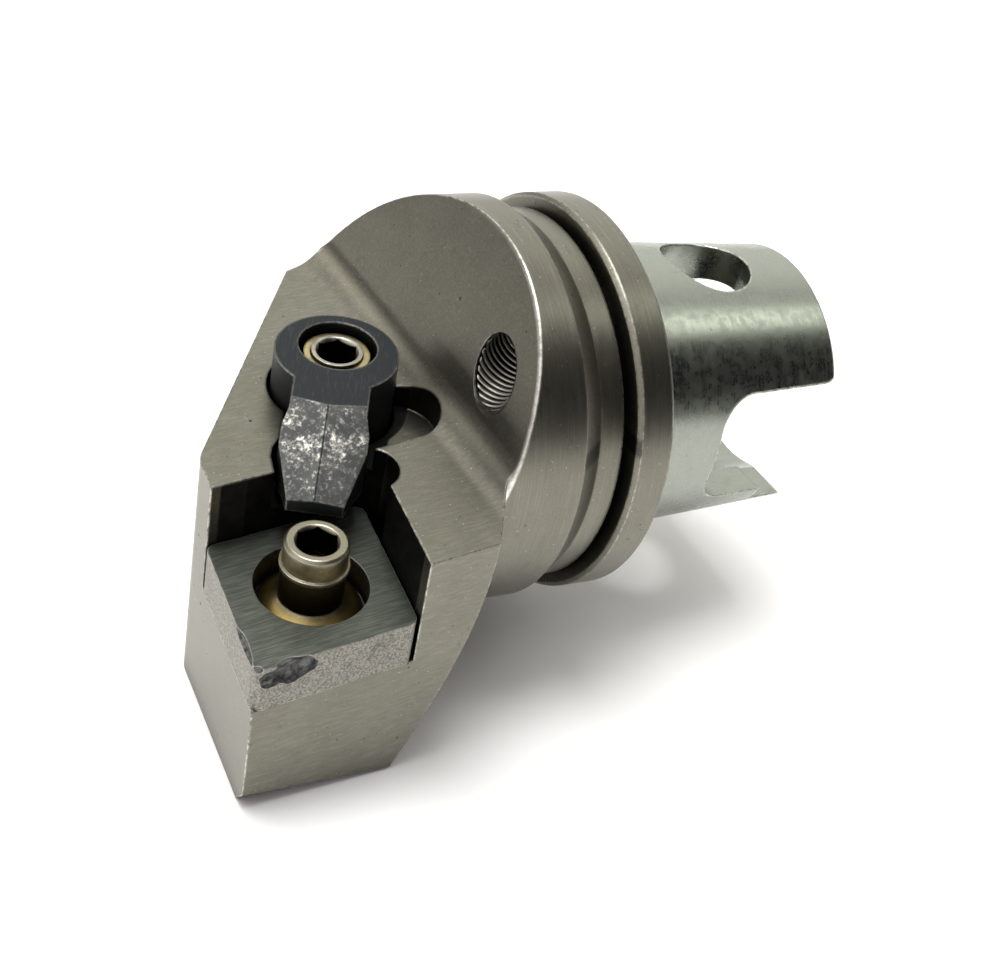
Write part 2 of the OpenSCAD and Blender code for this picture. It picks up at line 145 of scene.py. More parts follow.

# Tones of the grain, the wear and the dirt on the body, and of painted glints, shade and a dark
# reflection
GRIT = (0.26, 0.25, 0.21)
GRINDING = (0.42, 0.40, 0.34)
STAIN = (0.1, 0.09, 0.07)
SPECK = (0.04, 0.035, 0.03)
GLINT = (0.85, 0.83, 0.78)
SEAT_SHADE = (0.006, 0.006, 0.007)
FILLET_DARK_REFLECTION = (0.03, 0.028, 0.027)
PORT_SHADE = (0.012, 0.011, 0.009)
GRIME_AND_SHADE = (0.012, 0.012, 0.012)

# Tones of the shim's sintered sides, stains and chips, and of its grime with painted shade
SINTERED_DARK = (0.15, 0.145, 0.125)
SINTERED_LIGHT = (0.34, 0.325, 0.285)
CARBIDE_STAIN = (0.06, 0.06, 0.05)
CARBIDE_GRIME_AND_SHADE = (0.012, 0.012, 0.01)
CHIP_DARK = (0.035, 0.036, 0.038)
CHIP_LIGHT = (0.16, 0.16, 0.155)

# Tones of the clamp where its oxide is thin or scratched, where wear and a painted highlight
# brighten it, and its grime with painted shade
OXIDE_THIN = (0.11, 0.11, 0.102)
OXIDE_WORN_AND_HIGHLIT = (0.66, 0.65, 0.58)
OXIDE_SCRATCH = (0.11, 0.115, 0.115)
OXIDE_GRIME_AND_SHADE = (0.006, 0.006, 0.006)
SEAM = (0.01, 0.01, 0.01)

# Tones on the pin, the screw and the ring, with their grime and painted shade in sockets and
# hollows
PLATE_STAIN = (0.1, 0.08, 0.05)
PLATE_GRIME_AND_SHADE = (0.01, 0.009, 0.006)
SOCKET_DARK = (0.008, 0.007, 0.005)
PLATE_SHADE = 0.62

# The clamp's nose: how far ahead of the screw it starts and its crest lies, how steep its
# slopes are as the share of the normal along the seat's, and half the seam's width
NOSE_FROM = (0.0065, 0.0074)
NOSE_CREST = (0.0083, 0.0106, 0.0009)
NOSE_STEEPNESS = (0.45, 0.93, 0.03)
SEAM_HALF_WIDTH = (0.00003, 0.00009)

# Radii of the rounding that lights the edges, and depths that a bump's full height stands for
BODY_EDGE = 0.00026
CLAMP_EDGE = 0.0003
FINE_EDGE = 0.00015
FINE_BUMP = 0.00002
CLAMP_BUMP = 0.00003
CHIP_BUMP = 0.00012

# Hexagon sockets: radius inside which painted shade darkens them, depths under the head's top
# between which the painted shade sets in, and the heights of the two tops above the points of screw
# and pin
SOCKET_RADIUS = (0.0016, 0.00168)
SOCKET_DEPTH = (0.0003, 0.00005)
SCREW_TOP = 0.00325
PIN_TOP = 0.00415

# Thread of the port: where it starts and where the sloped face cuts it, along the port's axis
# from its point, then its length before the cut, how far under the face it ends, and the
# steps in one turn
THREAD_START = -0.0023
THREAD_MOUTH = 0.0045
THREAD_LENGTH = 0.0088
THREAD_INSET = 0.00025
THREAD_STEPS = 48


class Wire:
    """One output socket. Arithmetic on it adds Math nodes to the finish that owns it."""

    def __init__(self, finish, socket):
        self.finish = finish
        self.socket = socket

    def math(self, kind, a, b=0.0, clamp=False):
        settings = {"operation": kind, "use_clamp": clamp}
        return self.finish.node("ShaderNodeMath", settings, {0: a, 1: b})

    def __add__(self, other):
        return self.math("ADD", self, other)

    def __radd__(self, other):
        return self.math("ADD", other, self)

    def __sub__(self, other):
        return self.math("SUBTRACT", self, other)

    def __rsub__(self, other):
        return self.math("SUBTRACT", other, self)

    def __mul__(self, other):
        return self.math("MULTIPLY", self, other)

    def __rmul__(self, other):
        return self.math("MULTIPLY", other, self)

    def clamp(self):
        return self.math("ADD", self, 0.0, clamp=True)

    def abs(self):
        return self.math("ABSOLUTE", self)

    def step(self, low, high):
        """0 below low and 1 above high, with a soft rise between them."""
        settings = {"interpolation_type": "SMOOTHSTEP", "clamp": True}
        return self.finish.node(
            "ShaderNodeMapRange", settings, {"Value": self, "From Min": low, "From Max": high}
        )


class Finish:
    """A material, and the calls that add nodes to it."""

    def __init__(self, name):
        self.material = bpy.data.materials.new(name)
        self.material.use_nodes = True
        self.tree = self.material.node_tree
        self.tree.nodes.clear()
        self._coords = None

    def node(self, kind, settings=None, inputs=None, output=0):
        made = self.tree.nodes.new(kind)
        for key, value in (settings or {}).items():
            setattr(made, key, value)
        for key, value in (inputs or {}).items():
            self.feed(made.inputs[key], value)
        return Wire(self, made.outputs[output])

    def feed(self, socket, value):
        if isinstance(value, Wire):
            self.tree.links.new(value.socket, socket)
        elif socket.type == "RGBA" and len(value) == 3:
            socket.default_value = (*value, 1.0)
        else:
            socket.default_value = value

    def coords(self):
        if self._coords is None:
            self._coords = self.node("ShaderNodeTexCoord", output="Object")
        return self._coords

    def axes(self, vector=None):
        split = self.node("ShaderNodeSeparateXYZ", None, {0: vector or self.coords()})
        outs = split.socket.node.outputs
        return [Wire(self, outs[i]) for i in range(3)]

    def combine(self, *parts):
        return self.node("ShaderNodeCombineXYZ", None, dict(enumerate(parts)))

    def vector(self, kind, a, b=(0, 0, 0), output=0):
        return self.node("ShaderNodeVectorMath", {"operation": kind}, {0: a, 1: b}, output)

    def dot(self, a, b):
        return self.vector("DOT_PRODUCT", a, b, "Value")

    def length(self, vector):
        return self.vector("LENGTH", vector, output="Value")

    def height(self, point, direction):
        """Distance of the surface above a plane through point, square to direction."""
        return self.dot(self.vector("SUBTRACT", self.coords(), tuple(point)), tuple(direction))

    def round_axis(self, point, axis):
        """Height along an axis and distance from it."""
        arm = self.vector("SUBTRACT", self.coords(), tuple(point))
        cross = self.vector("CROSS_PRODUCT", arm, tuple(axis))
        return self.dot(arm, tuple(axis)), self.length(cross)

    def band(self, value, low, high, soft):
        """1 between low and high, with soft edges."""
        return value.step(low - soft, low + soft) * (1.0 - value.step(high - soft, high + soft))

    def stretch(self, scale, turn):
        """Object coordinates, turned and then scaled along each axis."""
        turned = self.node(
            "ShaderNodeVectorRotate",
            {"rotation_type": "EULER_XYZ", "invert": True},
            {"Vector": self.coords(), "Rotation": turn},
        )
        return self.vector("MULTIPLY", turned, scale)

    def noise(self, vector, scale=1.0, detail=3.0, rough=0.55):
        """Noise whose scale is in cells per metre, or 1 for a vector that is scaled already."""
        return self.node(
            "ShaderNodeTexNoise",
            None,
            {"Vector": vector, "Scale": scale, "Detail": detail, "Roughness": rough},
        )

    def spots(self, scale, low, high):
        """Round spots: 1 within low of a random cell's point and 0 past high."""
        inputs = {"Vector": self.coords(), "Scale": scale}
        return 1.0 - self.node("ShaderNodeTexVoronoi", {"feature": "F1"}, inputs).step(low, high)

    def mix(self, factor, a, b):
        settings = {"data_type": "RGBA", "blend_type": "MIX"}
        return self.node("ShaderNodeMix", settings, {0: factor, 6: a, 7: b}, 2)

    def flat_normal(self):
        return self.node("ShaderNodeNewGeometry", output="True Normal")

    def rounded(self, radius):
        return self.node("ShaderNodeBevel", {"samples": 4}, {"Radius": radius})

    def edge_mask(self, rounded, low=0.02, high=0.2):
        """0 on open faces and near 1 on edges, out to the radius of the rounding."""
        return (1.0 - self.dot(rounded, self.flat_normal())).step(low, high)

    def hollow(self, distance):
        """0 on open faces, up to 1 deep in holes, corners and slots."""
        near = self.node(
            "ShaderNodeAmbientOcclusion", {"samples": 6}, {"Distance": distance}, output="AO"
        )
        return 1.0 - near

    def bump(self, height, strength, distance, normal=None):
        inputs = {"Height": height, "Strength": strength, "Distance": distance}
        if normal is not None:
            inputs["Normal"] = normal
        return self.node("ShaderNodeBump", None, inputs)

    def surface(self, **values):
        shader = self.tree.nodes.new("ShaderNodeBsdfPrincipled")
        out = self.tree.nodes.new("ShaderNodeOutputMaterial")
        for key, value in values.items():
            self.feed(shader.inputs[key.replace("_", " ").title().replace("Ior", "IOR")], value)
        self.tree.links.new(shader.outputs[0], out.inputs["Surface"])
        return self.material


def ground_steel(look):
    """The body: ground and turned steel with grain, dark specks and edge wear, and painted glints,
    edge highlights, shade and a dark reflection.
    """
    f = Finish("ground_steel")
    x, y, z = f.axes()
    arm = f.vector("MULTIPLY", f.coords(), (0, 1, 1))
    radius = f.length(arm)
    outward = f.dot(f.flat_normal(), f.vector("NORMALIZE", arm))
    turned = outward.step(0.9, 0.97) * x.step(*TURNED_FROM_X)
    shank = x.step(*SHANK_FROM_X)

    # Grinding lines: round the axis on turned faces and along the seat on flat ones
    around = f.noise(f.combine(x * 9000.0, y * 260.0, z * 260.0), 1.0, 3.0, 0.6)
    along = f.noise(f.stretch((700, 5200, 5200), SEAT_TILT), 1.0, 3.0, 0.6)
    lines = f.axes(f.mix(turned, along, around))[0]
    grit = f.noise(f.coords(), 7000.0, 2.0, 0.6)
    cloud = f.noise(f.coords(), 230.0, 4.0, 0.6)
    patch = f.noise(f.coords(), 950.0, 3.0, 0.65)

    tone = f.mix(0.25 + cloud.step(0.3, 0.7) * 0.5, look.steel_dark, look.steel_light)
    tone = f.mix(grit.step(0.3, 0.7) * 0.3, tone, GRIT)
    tone = f.mix(shank, tone, look.shank)
    tone = f.mix(lines.step(0.4, 0.8) * 0.25, tone, GRINDING)
    tone = f.mix(patch.step(0.58, 0.78) * (0.3 - shank * 0.18), tone, STAIN)
    specks = f.spots(560.0, 0.04, 0.1) * cloud.step(0.45, 0.6)
    specks = specks + f.spots(1300.0, 0.06, 0.12) * patch.step(0.5, 0.62)
    specks = specks.clamp() * (1.0 - shank * 0.75)
    tone = f.mix(specks * 0.85, tone, SPECK)
    # Painted glints: small spots of painted highlight
    glints = f.spots(2300.0, 0.05, 0.12) * patch.step(0.5, 0.6)
    tone = f.mix(glints * 0.7, tone, GLINT)

    # Edges painted bright, partly as wear and partly as a painted highlight, most of all the sloped
    # face's rim
    u = f.height(SHIM_TIP, SEAT_X)
    v = f.height(SHIM_TIP, SEAT_Y)
    h = f.height(SHIM_TIP, SEAT_Z)
    rounded = f.rounded(BODY_EDGE)
    chew = f.noise(f.coords(), 1700.0, 3.0, 0.7)
    edge = f.edge_mask(rounded) * chew.step(0.36, 0.6)
    # The rim's bright line on the cylinder is a painted highlight where the real part has a chamfer
    off_slope = f.height(SLOPE_FOOT, SLOPE_NORMAL).abs()
    rim = (1.0 - off_slope.step(*RIM_WIDTH)) * radius.step(*RIM_RADIUS)
    rim = rim * (1.0 - x.step(*RIM_UNTIL_X)) * h.step(*RIM_FROM_HEIGHT)
    worn_and_highlit = (edge + rim * (0.55 + chew.step(0.35, 0.6) * 0.45)).clamp()
    tone = f.mix(worn_and_highlit, tone, look.bright)

    # Painted shade, near black, in the seat, the pocket and the nose's channel
    seat = f.band(u - v * RHOMBUS_LEAN, *SEAT_LENGTH) * f.band(v, *SEAT_WIDTH)
    pocket = 1.0 - f.round_axis(SCREW_POINT, SEAT_Z)[1].step(*POCKET_RADIUS)
    ahead = f.height(SCREW_POINT, NOSE)
    aside = f.height(SCREW_POINT, NOSE_SIDE).abs()
    channel = (1.0 - aside.step(*CHANNEL_HALF_WIDTH)) * f.band(ahead, *CHANNEL_LENGTH)
    seat_shade = (seat + channel + pocket).clamp() * f.band(h, *SEAT_SHADE_HEIGHT)
    tone = f.mix(seat_shade * (0.93 + patch.step(0.3, 0.7) * 0.06), tone, SEAT_SHADE)

    # Painted dark reflection in the concave fillet at the foot of the sloped face, darkest at its
    # low end
    fillet_dark_reflection = f.band(h, *FILLET_REFLECTION_HEIGHT) * (1.0 - v.step(*FILLET_REFLECTION_UNTIL)) * (1.0 - turned)
    fillet_dark_reflection = fillet_dark_reflection * (0.6 + 0.4 * (1.0 - v.step(*FILLET_REFLECTION_DARKEST_UNTIL)))
    tone = f.mix(fillet_dark_reflection * 0.72, tone, FILLET_DARK_REFLECTION)

    # Painted shade in the port, and grime with painted shade in the other hollows
    deep, far = f.round_axis(PORT_POINT, PORT_AXIS)
    port = (1.0 - far.step(*PORT_WALL)) * f.band(deep, *PORT_REACH)
    tone = f.mix(port * (0.6 + patch.step(0.25, 0.5) * 0.35), tone, PORT_SHADE)
    # Grime with painted shade: ambient occlusion darkens the hollows
    grime_and_shade = f.hollow(0.004).step(0.28, 0.72) * (0.75 + 0.25 * cloud) * (1.0 - turned * 0.75)
    tone = f.mix(grime_and_shade * 0.93, tone, GRIME_AND_SHADE)

    rough = 0.27 + lines * 0.14 - shank * 0.07 + specks * 0.3 - worn_and_highlit * 0.05 + seat_shade * 0.3
    rough = rough + shank * (patch.step(0.4, 0.7) * 0.08 + glints * 0.1)
    relief = lines * (0.6 - shank * 0.55) + grit * (0.5 - shank * 0.4)
    bumped = f.bump(relief, 0.25, FINE_BUMP, rounded)
    return f.surface(base_color=tone, metallic=1.0, roughness=rough, normal=bumped)


def lapped_carbide(look):
    """The shim: a lapped top with parallel lines, speckled sintered sides, grime with painted shade
    in hollows and edges painted bright by wear and painted highlight.
    """
    f = Finish("lapped_carbide")
    up = f.dot(f.flat_normal(), tuple(SEAT_Z)).step(0.9, 0.98)
    lines = f.noise(f.stretch((500, 9000, 600), SEAT_TILT), 1.0, 2.0, 0.6)
    speck = f.noise(f.coords(), 5800.0, 2.0, 0.7)
    cloud = f.noise(f.coords(), 420.0, 3.0, 0.6)
    top = f.mix(lines.step(0.38, 0.66), look.carbide_dark, look.carbide_light)
    side = f.mix(speck.step(0.38, 0.62), SINTERED_DARK, SINTERED_LIGHT)
    tone = f.mix(up, side, top)
    tone = f.mix(cloud.step(0.52, 0.75) * 0.45, tone, CARBIDE_STAIN)
    # Grime with painted shade: ambient occlusion darkens the hollows
    tone = f.mix(f.hollow(0.003).step(0.3, 0.75) * 0.9, tone, CARBIDE_GRIME_AND_SHADE)
    rounded = f.rounded(FINE_EDGE)
    # Edges painted bright: partly wear, partly painted highlight
    tone = f.mix(f.edge_mask(rounded) * cloud.step(0.35, 0.5) * 0.7, tone, look.bright)
    bumped = f.bump(f.mix(up, speck, lines), 0.3, FINE_BUMP, rounded)
    return f.surface(base_color=tone, metallic=0.9, roughness=0.36 + speck * 0.2, normal=bumped)


def chipped_carbide():
    """The broken face inside a chip: dark, with shallow ripples."""
    f = Finish("chipped_carbide")
    ripple = f.noise(f.coords(), 1500.0, 3.0, 0.55)
    fine = f.noise(f.coords(), 8000.0, 2.0, 0.6)
    tone = f.mix(ripple.step(0.35, 0.7), CHIP_DARK, CHIP_LIGHT)
    bumped = f.bump(ripple + fine * 0.2, 0.6, CHIP_BUMP)
    return f.surface(base_color=tone, metallic=0.75, roughness=0.3 + fine * 0.15, normal=bumped)


def black_oxide(look):
    """The clamp: black oxide, with a speckled nose, scratched top, rims and crest painted bright by
    wear and painted highlight, and painted shade in its hollows.
    """
    f = Finish("black_oxide")
    up = f.dot(f.flat_normal(), tuple(SEAT_Z))
    ahead = f.height(SCREW_POINT, NOSE)
    aside = f.height(SCREW_POINT, NOSE_SIDE).abs()
    fine = f.noise(f.coords(), 3200.0, 4.0, 0.75)
    wide = f.noise(f.coords(), 600.0, 3.0, 0.6)
    scratch = f.noise(f.stretch((700, 9000, 700), NOSE_TURN), 1.0, 2.0, 0.6)
    rounded = f.rounded(CLAMP_EDGE)

    # The nose's slopes, and across them the crest, painted brightest with wear and a painted
    # highlight
    slope = f.band(up, *NOSE_STEEPNESS) * ahead.step(*NOSE_FROM)
    speckle = fine.step(0.52, 0.7) * slope * (0.2 + wide.step(0.4, 0.6) * 0.3)
    crest = f.band(ahead, *NOSE_CREST) * slope
    crest = crest * wide.step(0.4, 0.62) * fine.step(0.4, 0.68)
    # Edges painted bright: partly wear, partly painted highlight
    edge = f.edge_mask(rounded, 0.01) * fine.step(0.3, 0.55)
    worn_and_highlit = (edge * 0.5 + speckle + crest * 0.85).clamp()
    tone = f.mix(slope * (0.3 + wide.step(0.4, 0.7) * 0.35), look.oxide, OXIDE_THIN)
    tone = f.mix(worn_and_highlit, tone, OXIDE_WORN_AND_HIGHLIT)
    flat_top = up.step(0.95, 0.99)
    tone = f.mix(scratch.step(0.52, 0.74) * 0.25 * flat_top, tone, OXIDE_SCRATCH)
    # Grime with painted shade: ambient occlusion darkens the hollows
    tone = f.mix(f.hollow(0.003).step(0.35, 0.8) * 0.9, tone, OXIDE_GRIME_AND_SHADE)
    seam = (1.0 - aside.step(*SEAM_HALF_WIDTH)) * slope
    tone = f.mix(seam * 0.85, tone, SEAM)
    rough = 0.45 - worn_and_highlit * 0.14 + wide * 0.1
    bumped = f.bump(fine + scratch * 0.5 - seam * 2.0, 0.35, CLAMP_BUMP, rounded)
    return f.surface(base_color=tone, metallic=0.85, roughness=rough, normal=bumped)


def worn_plate(name, base, bright, point, top, zones, rough):
    """Worn plating or steel on a round piece. Each zone is a height range along the piece's
    axis, a soft width, and a tone that shows there with its strength."""
    f = Finish(name)
    up, radius = f.round_axis(point, SEAT_Z)
    cloud = f.noise(f.coords(), 900.0, 4.0, 0.65)
    fine = f.noise(f.coords(), 4200.0, 3.0, 0.6)
    rings = f.noise(f.combine(up * 9000.0, radius * 9000.0), 1.0, 2.0)
    tone = f.mix(cloud.step(0.35, 0.65), base, tuple(c * PLATE_SHADE for c in base))
    for low, high, soft, colour, strength in zones:
        tone = f.mix(f.band(up, low, high, soft) * strength, tone, colour)
    # Edges painted bright: partly wear, partly painted highlight
    rounded = f.rounded(FINE_EDGE)
    edge = f.edge_mask(rounded) * fine.step(0.25, 0.5)
    tone = f.mix(edge, tone, bright)
    tone = f.mix(cloud.step(0.62, 0.8) * 0.5, tone, PLATE_STAIN)
    # Painted shade inside the hexagon sockets
    under_head = 1.0 - up.step(*(top - depth for depth in SOCKET_DEPTH))
    socket = (1.0 - radius.step(*SOCKET_RADIUS)) * under_head
    tone = f.mix(socket * 0.96, tone, SOCKET_DARK)
    # Grime with painted shade: ambient occlusion darkens the hollows
    tone = f.mix(f.hollow(0.0022).step(0.4, 0.75) * 0.9, tone, PLATE_GRIME_AND_SHADE)
    bumped = f.bump(rings + fine * 0.4, 0.2, FINE_BUMP, rounded)
    return f.surface(base_color=tone, metallic=1.0, roughness=rough + cloud * 0.15, normal=bumped)


def link(name, data):
    """Puts an object with this data into the scene."""
    made = bpy.data.objects.new(name, data)
    bpy.context.scene.collection.objects.link(made)
    return made


def weld(mesh):
    """Opens a mesh for editing, with its coincident vertices joined."""
    build = bmesh.new()
    build.from_mesh(mesh)
    bmesh.ops.remove_doubles(build, verts=build.verts, dist=WELD_DISTANCE)
    return build


def write_back(build, mesh):
    """Writes the edited mesh and closes it."""
    build.to_mesh(mesh)
    build.free()


def dress(node, material):
    """Gives a CAD node its finish."""
    piece = NODES[node]
    if not piece.material_slots:
        piece.data.materials.append(material)
    for place in piece.material_slots:
        place.material = material


def baked(carrier):
    """The plain mesh that a carrier object's modifiers make."""
    depsgraph = bpy.context.evaluated_depsgraph_get()
    mesh = bpy.data.meshes.new_from_object(carrier.evaluated_get(depsgraph))
    bpy.data.objects.remove(carrier)
    return mesh


class Tree:
    """A Geometry Nodes tree with named inputs."""

    def __init__(self, name, inputs):
        self.group = bpy.data.node_groups.new(name, "GeometryNodeTree")
        self.ids = {}
        for label, kind, value in inputs:
            socket = self.group.interface.new_socket(label, in_out="INPUT", socket_type=kind)
            socket.default_value = value
            self.ids[label] = socket.identifier
        self.group.interface.new_socket(
            "Geometry", in_out="OUTPUT", socket_type="NodeSocketGeometry"
        )
        self.start = self.group.nodes.new("NodeGroupInput")
        self.end = self.group.nodes.new("NodeGroupOutput")

    def add(self, kind, settings=None, inputs=None):
        made = self.group.nodes.new(kind)
        for key, value in (settings or {}).items():
            setattr(made, key, value)
        for key, value in (inputs or {}).items():
            socket = made.inputs[key]
            if isinstance(value, bpy.types.NodeSocket):
                self.group.links.new(value, socket)
            elif isinstance(value, str) and value in self.ids:
                self.group.links.new(self.start.outputs[value], socket)
            else:
                socket.default_value = value
        return made

    def finish(self, geometry, material):
        real = self.add("GeometryNodeRealizeInstances", None, {0: geometry})
        painted = self.add(
            "GeometryNodeSetMaterial", None, {"Geometry": real.outputs[0], "Material": material}
        )
        self.group.links.new(painted.outputs[0], self.end.inputs[0])

    def run(self, name, values):
        """Runs the tree on an empty carrier and returns the mesh."""
        carrier = link(name, bpy.data.meshes.new(name))
        modifier = carrier.modifiers.new(name, "NODES")
        modifier.node_group = self.group
        for label, value in values.items():
            modifier[self.ids[label]] = value
        return baked(carrier)


def thread_mesh(name, radius, depth, pitch, length, material):
    """A helical ridge that stands inward from a bore's wall, made by Geometry Nodes."""
    tree = Tree(
        name,
        [
            ("Radius", "NodeSocketFloat", 0.002),
            ("Depth", "NodeSocketFloat", 0.0003),
            ("Pitch", "NodeSocketFloat", 0.0008),
            ("Length", "NodeSocketFloat", 0.006),
            ("Steps", "NodeSocketInt", THREAD_STEPS),
        ],
    )
    turns = tree.add("ShaderNodeMath", {"operation": "DIVIDE"}, {0: "Length", 1: "Pitch"})
    spiral = tree.add(
        "GeometryNodeCurveSpiral",
        None,
        {
            "Resolution": "Steps",
            "Rotations": turns.outputs[0],
            "Start Radius": "Radius",
            "End Radius": "Radius",
            "Height": "Length",
        },
    )
    profile = tree.add(
        "GeometryNodeCurvePrimitiveCircle", {"mode": "RADIUS"}, {"Resolution": 3, "Radius": "Depth"}
    )
    swept = tree.add(
        "GeometryNodeCurveToMesh",
        None,
        {"Curve": spiral.outputs[0], "Profile Curve": profile.outputs[0], "Fill Caps": True},
    )
    tree.finish(swept.outputs[0], material)
    values = {"Radius": radius, "Depth": depth, "Pitch": pitch, "Length": length}
    return tree.run(name, {**values, "Steps": THREAD_STEPS})


class SteelLook(bpy.types.PropertyGroup):
    """Colours of the body, the shim and the clamp."""

    steel_dark: FloatVectorProperty(
        name="Steel, dark", description="Darker tone of the ground steel", subtype="COLOR",
        default=(0.155, 0.148, 0.118), min=0, max=1,
    )
    steel_light: FloatVectorProperty(
        name="Steel, light", description="Lighter tone of the ground steel", subtype="COLOR",
        default=(0.2, 0.195, 0.158), min=0, max=1,
    )
    shank: FloatVectorProperty(
        name="Shank", description="Tone of the taper shank", subtype="COLOR",
        default=(0.31, 0.33, 0.29), min=0, max=1,
    )
    # Tone of edges painted bright, partly by wear and partly as a painted highlight
    bright: FloatVectorProperty(
        name="Worn edge", description="Tone of edges that are worn bright", subtype="COLOR",
        default=(0.92, 0.89, 0.82), min=0, max=1,
    )
    oxide: FloatVectorProperty(
        name="Black oxide", description="Tone of the clamp's oxide", subtype="COLOR",
        default=(0.022, 0.025, 0.028), min=0, max=1,
    )
    carbide_dark: FloatVectorProperty(
        name="Carbide, dark", description="Darker tone of the shim", subtype="COLOR",
        default=(0.075, 0.082, 0.07), min=0, max=1,
    )
    carbide_light: FloatVectorProperty(
        name="Carbide, light", description="Lighter tone of the shim", subtype="COLOR",
        default=(0.125, 0.133, 0.113), min=0, max=1,
    )


class ThreadSizes(bpy.types.PropertyGroup):
    """Sizes of the coolant port's thread."""

    pitch: FloatProperty(
        name="Pitch", description="Rise of the thread in one turn", default=0.0005,
        min=0.0004, max=0.0015, unit="LENGTH",
    )
    depth: FloatProperty(
        name="Depth", description="Size of the thread's ridge", default=0.00016,
        min=0.0001, max=0.0006, unit="LENGTH",
    )


class StageSizes(bpy.types.PropertyGroup):
    """Size of the floor and strength of the room's light."""

    floor_size: FloatProperty(
        name="Floor", description="Side of the square floor", default=8.0, min=1, max=10,
        unit="LENGTH",
    )
    room_light: FloatProperty(
        name="Room light", description="Strength of the soft light all round", default=1.0,
        min=0, max=10,
    )


class CUTTING_OT_body(bpy.types.Operator):
    """Give the steel body its finish"""

    bl_idname = "cutting.body"
    bl_label = "Body"

    def execute(self, context):
        dress("body", ground_steel(context.scene.steel_look))
        return {"FINISHED"}


class CUTTING_OT_port_thread(bpy.types.Operator):
    """Make the thread of the coolant port"""

    bl_idname = "cutting.port_thread"
    bl_label = "Port thread"

    def execute(self, context):
        sizes = context.scene.thread_sizes
        steel = bpy.data.materials["ground_steel"]
        mesh = thread_mesh(
            "port_thread", PORT_RADIUS, sizes.depth, sizes.pitch, THREAD_LENGTH, steel
        )
        start = PORT_POINT + PORT_AXIS * THREAD_START
        turn = PORT_AXIS.to_track_quat("Z", "Y").to_matrix().to_4x4()
        mesh.transform(Matrix.Translation(start) @ turn)
        # Trim the thread just under the sloped face
        build = weld(mesh)
        mouth = PORT_POINT + PORT_AXIS * THREAD_MOUTH - SLOPE_NORMAL * THREAD_INSET
        parts = build.verts[:] + build.edges[:] + build.faces[:]
        bmesh.ops.bisect_plane(
            build, geom=parts, plane_co=mouth, plane_no=SLOPE_NORMAL, clear_outer=True
        )
        bmesh.ops.holes_fill(build, edges=build.edges, sides=0)
        bmesh.ops.recalc_face_normals(build, faces=build.faces)
        write_back(build, mesh)
        mesh.materials.clear()
        mesh.materials.append(steel)
        piece = link("port_thread", mesh)
        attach(piece, "body")
        return {"FINISHED"}


class CUTTING_OT_shim(bpy.types.Operator):
    """Make the carbide shim with its chipped corner"""

    bl_idname = "cutting.shim"
    bl_label = "Shim"

    # Chips: middle in the seat's axes, half sizes, and turn about the seat's normal
    chips = (
        ((0.0029, -0.00035, -0.0008), (0.0021, 0.0009, 0.0013), 0),
        ((0.0013, -0.0002, -0.0011), (0.0011, 0.0006, 0.0009), 0),
        ((0.00015, 0.0026, 0.0002), (0.0025, 0.0006, 0.00075), 80),
        ((0.0001, 0.0001, 0.0001), (0.0006, 0.0005, 0.0006), 30),
    )
    # Height and frequency of the chips' waves and ripples, and the factor from a chip's place
    # to its place in the noise
    waves = (0.16, 1.7)
    ripples = (0.05, 5.0)
    spread = 900

    def execute(self, context):
        carbide = lapped_carbide(context.scene.steel_look)
        broken = chipped_carbide()
        source = NODES["shim"].data.copy()
        source.materials.clear()
        source.materials.append(carbide)
        write_back(weld(source), source)
        carrier = link("shim_blank", source)
        cutters = []
        for i, (middle, half, turn) in enumerate(self.chips):
            cutters.append(self.chip(f"chip_{i}", middle, half, turn, broken))
            cut = carrier.modifiers.new(f"chip_{i}", "BOOLEAN")
            cut.operation = "DIFFERENCE"
            cut.solver = "EXACT"
            cut.material_mode = "TRANSFER"
            cut.object = cutters[-1]
        mesh = baked(carrier)
        for cutter in cutters:
            bpy.data.objects.remove(cutter)
        mesh.name = "shim_chipped"
        mesh.shade_flat()
        piece = link("shim_chipped", mesh)
        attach(piece, "body")
        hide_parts("shim")
        return {"FINISHED"}

    def chip(self, name, middle, half, turn, material):
        """A rippled lump that is cut from the shim."""
        mesh = bpy.data.meshes.new(name)
        build = bmesh.new()
        bmesh.ops.create_icosphere(build, subdivisions=4, radius=1.0)
        spin = Matrix.Rotation(math.radians(turn), 3, "Z")
        tall, often = self.waves
        fine_tall, fine_often = self.ripples
        for v in build.verts:
            swell = 1.0 + tall * noise.noise(v.co * often + Vector(middle) * self.spread)
            swell += fine_tall * noise.noise(v.co * fine_often)
            local = spin @ Vector(c * h * swell for c, h in zip(v.co, half))
            v.co = SHIM_TIP + SEAT_AXES @ (Vector(middle) + local)
        write_back(build, mesh)
        mesh.materials.append(material)
        return link(name, mesh)


class CUTTING_OT_clamp(bpy.types.Operator):
    """Give the clamp, its screw and its ring their finishes"""

    bl_idname = "cutting.clamp"
    bl_label = "Clamp"

    gold = (0.5, 0.41, 0.22)
    gold_worn_and_highlit = (0.9, 0.85, 0.7)
    steel = (0.42, 0.40, 0.33)
    steel_worn_and_highlit = (0.95, 0.93, 0.86)
    rough = 0.22

    def execute(self, context):
        dress("clamp", black_oxide(context.scene.steel_look))
        place = (SCREW_POINT, SCREW_TOP, [], self.rough)
        dress("clamp_ring", worn_plate("ring_plate", self.gold, self.gold_worn_and_highlit, *place))
        dress("clamp_screw", worn_plate("screw_steel", self.steel, self.steel_worn_and_highlit, *place))
        return {"FINISHED"}


